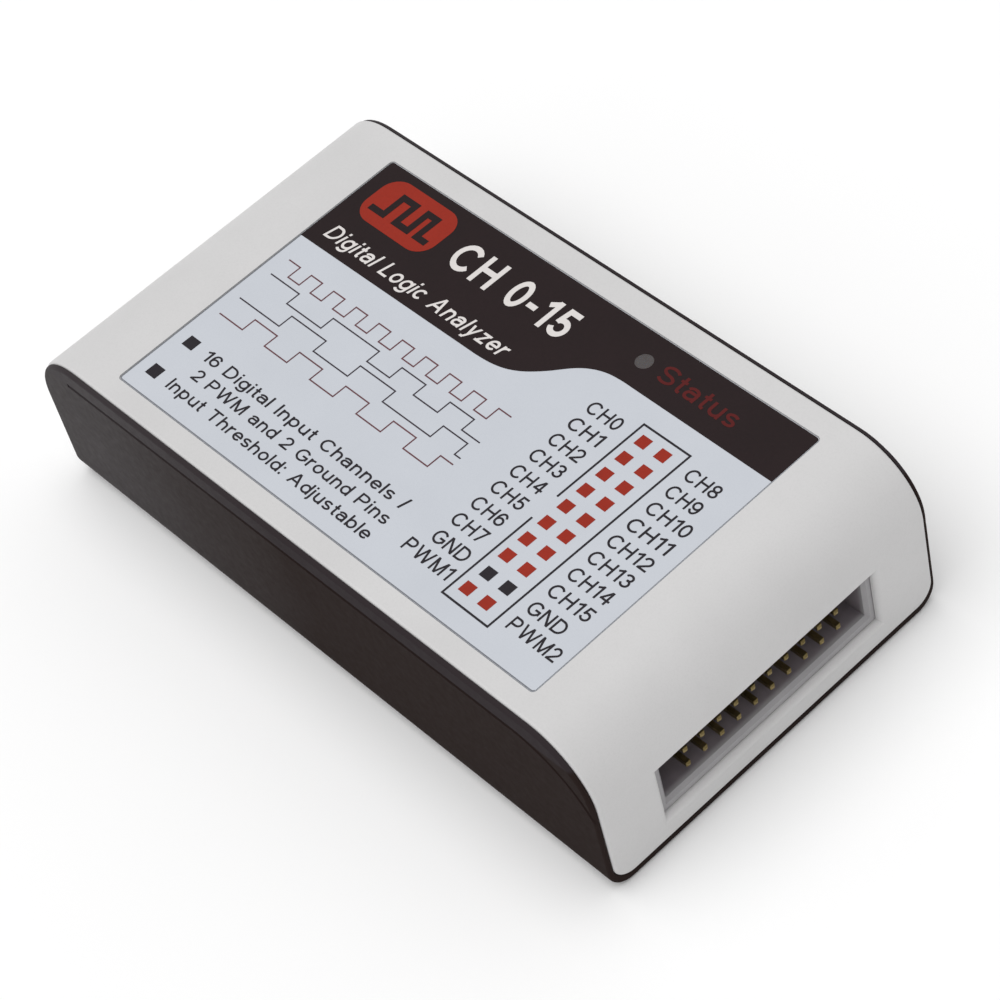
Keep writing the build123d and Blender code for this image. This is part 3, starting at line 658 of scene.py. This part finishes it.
def smooth_run(points, per=8):
    """Catmull-Rom through the points."""
    out = []
    pts = [points[0]] + points + [points[-1]]
    for i in range(1, len(pts) - 2):
        p0, p1, p2, p3 = pts[i - 1:i + 3]
        for k in range(per):
            t = k / per
            out.append(tuple(
                0.5 * (2 * p1[j] + (p2[j] - p0[j]) * t + (2 * p0[j] - 5 * p1[j] + 4 * p2[j] - p3[j]) * t * t
                       + (3 * p1[j] - p0[j] - 3 * p2[j] + p3[j]) * t ** 3) for j in (0, 1)))
    out.append(points[-1])
    return out


LX0, LX1, LY0, LY1 = -33.2, 35.8, -21.5, 21.0
LIGHT = (12.95, 17.2)

# --- dark band along the far side, with its S-shaped lower edge ---------------
swell = smooth_run([(-4.4, 6.32), (-2.4, 6.34), (-0.35, 6.52), (1.55, 7.0), (3.35, 7.93), (5.25, 9.47),
                    (7.45, 11.68), (9.1, 12.80), (10.9, 13.44), (12.9, 13.66), (14.9, 13.66)])
E, LR = 0.04, 0.45
outline = ([(LX0 + E, 6.32)] + swell + [(LX1 - E, 13.55)]
           + arc(LX1 - LR, LY1 - LR, LR - E, 0, 90, 8)
           + arc(LX0 + LR, LY1 - LR, LR - E, 90, 180, 8))
window = list(reversed(arc(LIGHT[0], LIGHT[1], 1.10, 0, 360 - 11.25, 31)))
Print(False).polygon(outline, window).done("label_dark_band", INK_1, FILM_TOP - SINK, ink_dark)

# --- thin printed border round the light part ---------------------------------
rim = 0.09
border = ([(LX0 + rim, 6.32)] + arc(LX0 + LR, LY0 + LR, LR - rim, 180, 270, 6)
          + arc(LX1 - LR, LY0 + LR, LR - rim, 270, 330, 4))
front_edge = [(LX1 - 0.06, LY0 + 0.36), (LX1 - 0.06, 13.55)]
Print(False).line(border, 0.13).line(front_edge, 0.05).done("label_border_line", INK_1, FILM_TOP - SINK, ink_grey)

# --- badge: a rounded plate with a pulse ---------------------------------------
BX0, BX1, BY0, BY1 = -31.5, -19.3, 12.2, 19.5
pulse = [(-29.9, 14.2), (-28.0, 14.2), (-28.0, 17.5), (-25.85, 17.5), (-25.85, 14.2), (-23.75, 14.2),
         (-23.75, 17.5), (-22.15, 17.5), (-22.15, 14.2), (-20.85, 14.2)]
Print().polygon(rounded(BX0, BY0, BX1, BY1, 2.5)).done(
    "label_badge_plate", INK_2, INK_1 - SINK, ink_red)
Print().line(pulse, 0.9).done("label_badge_pulse", INK_2 + 0.016, INK_2 - SINK, ink_dark)

# --- white lettering on the band ------------------------------------------------
white = Print()
words(white, "CH 0-15", -16.6, 2.6, 13.4, 4.35, weight=0.175)
words(white, "Digital Logic Analyzer", -31.3, -0.8, 7.6, 2.2, weight=0.145, slope=0.22)
white.done("label_white_lettering", INK_2, INK_1 - SINK, ink_white)
words(Print(), "Status", 15.05, 26.75, 16.25, 2.55, weight=0.145).done(
    "label_light_lettering", INK_2, INK_1 - SINK, ink_dim_red)

# --- note lines with two square bullets --------------------------------------------
notes = Print()
notes.rect(-31.25, -13.95, -29.5, -12.35)
notes.rect(-31.25, -19.4, -29.5, -17.7)
words(notes, "16 Digital Input Channels /", -27.65, 7.25, -14.0, 1.65)
words(notes, "2 PWM and 2 Ground Pins", -26.4, 7.25, -16.65, 1.65)
words(notes, "Input Threshold: Adjustable", -27.65, 7.25, -19.35, 1.65)
notes.done("label_note_lettering", INK_1, FILM_TOP - SINK, ink_text)


# --- four logic traces -----------------------------------------------------------
def trace_path(x0, x1, high, low, starts_high, edges):
    y = high if starts_high else low
    path = [(x0, y)]
    for e in edges:
        path.append((e, y))
        y = low if y == high else high
        path.append((e, y))
    path.append((x1, y))
    return path


TRACES = [
    ("label_trace_1", 2.5, 0.6, True, [-29.35, -27.35, -25.35, -23.35, -21.35, -19.35, -17.35, -15.35,
                                       -13.3, -11.3, -9.25, -7.3, -5.25, -3.25, -1.25, 0.75, 2.8, 4.85],
     ink_rose),
    ("label_trace_2", -0.3, -2.2, True, [-26.25, -20.15, -12.1, -8.2, -4.15, -0.1, 3.9], ink_trace),
    ("label_trace_3", -3.1, -5.05, False, [-24.25, -18.15, -12.15, -6.15, 1.9, 5.9], ink_trace),
    ("label_trace_4", -6.15, -8.1, False, [-27.25, -23.25, -19.25, -15.2, -11.15, -7.15, -3.0, 0.8, 4.85],
     ink_rose),
]
for name, high, low, starts, edges, colour in TRACES:
    Print().line(trace_path(-31.3, 6.8, high, low, starts, edges), 0.17).done(
        name, INK_1, FILM_TOP - SINK, colour)

# --- pin map: outline with the key gap, pin squares, channel names ------------------
Print().line([(19.0, -1.85), (19.0, 10.95), (26.1, 10.95), (26.1, -18.6), (19.0, -18.6), (19.0, -5.75)],
             0.26).done("label_pin_map_outline", INK_1, FILM_TOP - SINK, ink_text)
ROWS = [9.12, 6.26, 3.40, 0.56, -2.29, -5.12, -7.99, -10.83, -13.78, -16.52]
red, black, names = Print(), Print(), Print()
LEFT = ["CH0", "CH1", "CH2", "CH3", "CH4", "CH5", "CH6", "CH7", "GND", "PWM1"]
RIGHT = ["CH8", "CH9", "CH10", "CH11", "CH12", "CH13", "CH14", "CH15", "GND", "PWM2"]
SPANS = {"CH": (12.35, 17.25), "GND": (12.5, 17.8), "PWM": (10.9, 18.1)}
ENDS = {"CH8": 32.25, "CH9": 32.25, "GND": 32.8, "PWM2": 34.75}
for i, y in enumerate(ROWS):
    ground = LEFT[i] == "GND"
    for x in ((21.0, 24.0) if ground else (20.75, 23.75)):
        (black if ground else red).rect(x - 0.76, y - 0.76, x + 0.76, y + 0.76)
    x0, x1 = SPANS[LEFT[i].rstrip("0123456789")]
    words(names, LEFT[i], x0, x1, y - 0.93, 1.85)
    words(names, RIGHT[i], 27.5, ENDS.get(RIGHT[i], 33.65), y - 0.93, 1.85)
red.done("label_signal_pin_marks", INK_1, FILM_TOP - SINK, ink_red)
black.done("label_ground_pin_marks", INK_1, FILM_TOP - SINK, ink_text)
names.done("label_channel_names", INK_1, FILM_TOP - SINK, ink_text)


# ---------------------------------------------------------------------------
# Stage: pale floor, soft light, camera
# ---------------------------------------------------------------------------
def floor_mesh():
    """A wide sheet just under the object, open below the box where no view from above sees it."""
    me = bpy.data.meshes.new("studio_floor")
    half, hx, hy, z = 2.4, 0.0457, 0.0218, -0.00004
    verts = [(-half, -half, z), (half, -half, z), (half, half, z), (-half, half, z),
             (-hx, -hy, z), (hx, -hy, z), (hx, hy, z), (-hx, hy, z)]
    me.from_pydata(verts, [], [(0, 1, 5, 4), (1, 2, 6, 5), (2, 3, 7, 6), (3, 0, 4, 7)])
    me.update()
    ob = bpy.data.objects.new("studio_floor", me)
    scene.collection.objects.link(ob)
    return ob


floor = floor_mesh()
fm = Mat("pale_floor_paper", Specular_IOR_Level=0.1)
fm.colour(fm.mix(fm.span(fm.noise(60.0, 2.0), 0.3, 0.7), (0.985, 0.985, 0.985, 1), (0.975, 0.975, 0.975, 1)))
fm.rough(fm.noise(2.0, 2.0), 0.85, 0.95)
# seen from below the sheet is clear, so that the underside can be looked at
_side = fm.node("ShaderNodeNewGeometry")
_clear = fm.node("ShaderNodeBsdfTransparent")
_pick = fm.node("ShaderNodeMixShader")
fm.link(_side.outputs["Backfacing"], _pick.inputs[0])
fm.link(fm.b.outputs["BSDF"], _pick.inputs[1])
fm.link(_clear.outputs["BSDF"], _pick.inputs[2])
fm.link(_pick.outputs[0], fm.out.inputs["Surface"])
floor.data.materials.append(fm.m)

world = bpy.data.worlds.new("soft_studio")
scene.world = world
world.use_nodes = True
wt = world.node_tree
wt.nodes.clear()
w_out = wt.nodes.new("ShaderNodeOutputWorld")
w_bg = wt.nodes.new("ShaderNodeBackground")
w_bg.inputs["Color"].default_value = (1.0, 1.0, 1.0, 1.0)
w_bg.inputs["Strength"].default_value = 0.52
wt.links.new(w_bg.outputs["Background"], w_out.inputs["Surface"])


def sun(name, direction, strength, angle, colour=(1, 1, 1)):
    """A broad soft sun shining from a direction."""
    light = bpy.data.lights.new(name, "SUN")
    light.energy = strength
    light.angle = math.radians(angle)
    light.color = colour
    ob = bpy.data.objects.new(name, light)
    scene.collection.objects.link(ob)
    ob.rotation_euler = Vector(direction).to_track_quat("Z", "Y").to_euler()
    ob.location = Vector(direction) * 2
    return ob


sun("overhead_softbox", (-0.10, -0.22, 0.95), 1.7, 70)

# the camera, in the CAD frame: millimetres, then metres
right = Vector((0.67331755, 0.71742755, -0.17872096))
down = Vector((0.48351458, -0.61014177, -0.62764693))
ahead = Vector((-0.55933632, 0.33619151, -0.75770585))
place = Vector((206.81710118, -121.82820292, 283.30592344)) * MM
cam_data = bpy.data.cameras.new("photo_camera")
cam_data.sensor_fit = "HORIZONTAL"
cam_data.sensor_width = 36.0
cam_data.lens = 116.2728
cam_data.clip_start = 0.01
cam_data.clip_end = 20.0
cam = bpy.data.objects.new("photo_camera", cam_data)
scene.collection.objects.link(cam)
m = Matrix.Identity(4)
for i, col in enumerate((right, -down, -ahead)):
    for j in range(3):
        m[j][i] = col[j]
m.translation = place
cam.matrix_world = m
scene.camera = cam

scene.view_settings.view_transform = "Standard"
scene.view_settings.look = "None"
scene.view_settings.exposure = 0.0
scene.view_settings.gamma = 1.0
